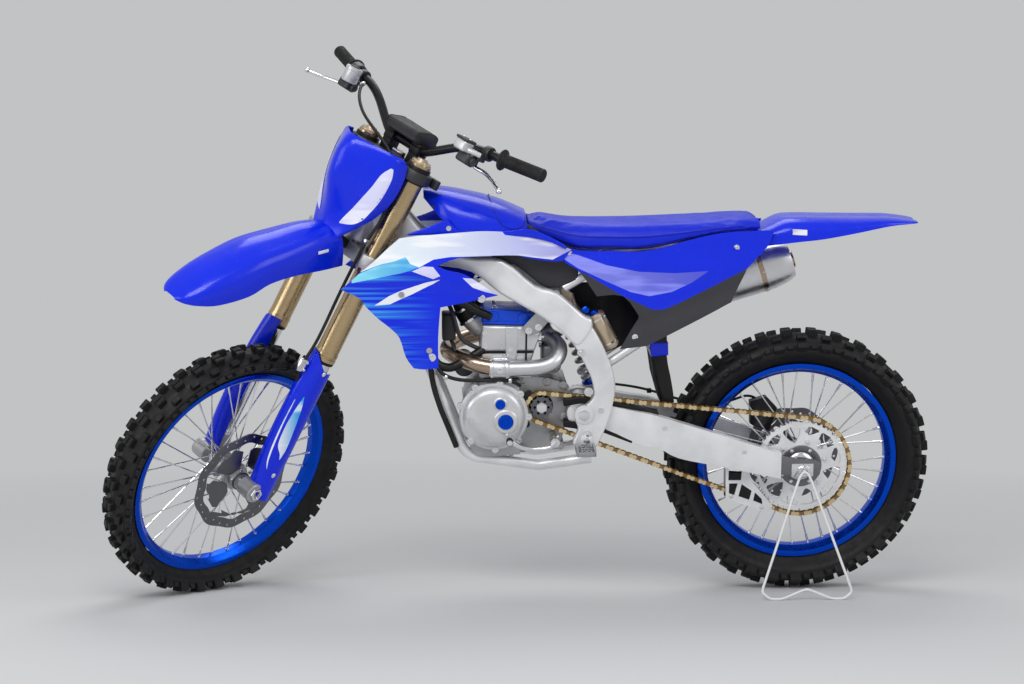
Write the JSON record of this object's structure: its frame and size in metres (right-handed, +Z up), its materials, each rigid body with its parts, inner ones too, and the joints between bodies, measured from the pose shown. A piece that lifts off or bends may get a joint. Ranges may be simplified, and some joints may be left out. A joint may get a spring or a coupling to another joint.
{
  "type": "motocross bike",
  "caption": "Motocross bike with knobbly tyres, twin-spar frame, upside-down fork and exposed engine, leaning on a triangle stand with its steering on the left stop.",
  "frame": {"origin": "centre of the footprint box, on the floor", "axes": "+X forward, +Y to the rider's left, +Z up; the bike leans to +Y on its stand"},
  "size_m": [2.07, 0.6718, 1.3971],
  "materials": {
    "blue_plastic": "glossy deep blue moulded plastic",
    "shroud_graphic": "glossy blue plastic with white and pale blue streaks",
    "seat_cover": "grained blue vinyl over foam",
    "black_plastic": "black moulded plastic",
    "grey_plastic": "dark grey moulded plastic",
    "frame_alloy": "satin silver aluminium",
    "engine_alloy": "cast aluminium",
    "blue_alloy": "blue anodised aluminium",
    "gold_alloy": "bronze anodised fork tube",
    "exhaust_metal": "heat tinted exhaust tube",
    "silencer_metal": "brushed silencer can",
    "polished_steel": "polished steel",
    "dark_steel": "dark brake disc steel",
    "gold_chain": "gold plated chain",
    "white_steel": "white coated wire",
    "tyre_rubber": "black tyre rubber",
    "hose_rubber": "smooth black hose",
    "grip_rubber": "soft black rubber"
  },
  "bodies": {
    "chassis": {"main_frame": "frame_alloy", "lower_cradle": "frame_alloy", "subframe": "frame_alloy", "swingarm": "frame_alloy", "rear_axle": "polished_steel", "crankcase": "engine_alloy", "engine_covers": "engine_alloy", "cylinder_head": "engine_alloy", "cam_cover": "blue_alloy", "exhaust_pipe": "exhaust_metal", "silencer": "silencer_metal", "radiators": "engine_alloy", "shock_absorber": "gold_alloy", "drive_chain": "gold_chain", "front_sprocket": "dark_steel", "chain_guide": "frame_alloy", "tank_cover": "blue_plastic", "fuel_tank": "grey_plastic", "seat": "seat_cover", "left_shroud": "shroud_graphic", "right_shroud": "shroud_graphic", "rear_fender": "blue_plastic", "left_side_panel": "blue_plastic", "right_side_panel": "blue_plastic", "mud_flap": "black_plastic", "rear_caliper": "black_plastic", "foot_controls": "polished_steel", "coolant_hoses": "hose_rubber", "prop_stand": "white_steel"},
    "fork": {"handlebar": "black_plastic", "triple_clamps": "engine_alloy", "fork_outer_tubes": "gold_alloy", "fork_inner_tubes": "polished_steel", "grips": "grip_rubber", "left_hand_controls": "polished_steel", "right_hand_controls": "polished_steel", "bar_pad": "black_plastic", "fork_guards": "blue_plastic", "front_fender": "blue_plastic", "number_plate": "blue_plastic", "front_axle": "polished_steel", "front_caliper": "black_plastic", "front_brake_hose": "hose_rubber"},
    "front_wheel": {"front_tyre": "tyre_rubber", "front_rim": "blue_alloy", "front_hub": "frame_alloy", "front_disc": "dark_steel"},
    "rear_wheel": {"rear_tyre": "tyre_rubber", "rear_rim": "blue_alloy", "rear_hub": "frame_alloy", "rear_disc": "dark_steel", "rear_sprocket": "frame_alloy"}
  },
  "joints": [
    {"name": "steering", "type": "hinge", "parent": "chassis", "child": "fork", "pos_m": [0.37717, 0.0199, 0.97954], "axis": [-0.4448, 0.1549, 0.8822], "range_deg": [-86, 0]},
    {"name": "front_wheel_spin", "type": "hinge", "parent": "fork", "child": "front_wheel", "pos_m": [0.7479, -0.06133, 0.31919], "axis": [-0.6119, 0.6667, -0.4256], "continuous": true},
    {"name": "rear_wheel_spin", "type": "hinge", "parent": "chassis", "child": "rear_wheel", "pos_m": [-0.69501, -0.0949, 0.33774], "axis": [-0.0015, 0.9848, -0.1736], "continuous": true}
  ]
}
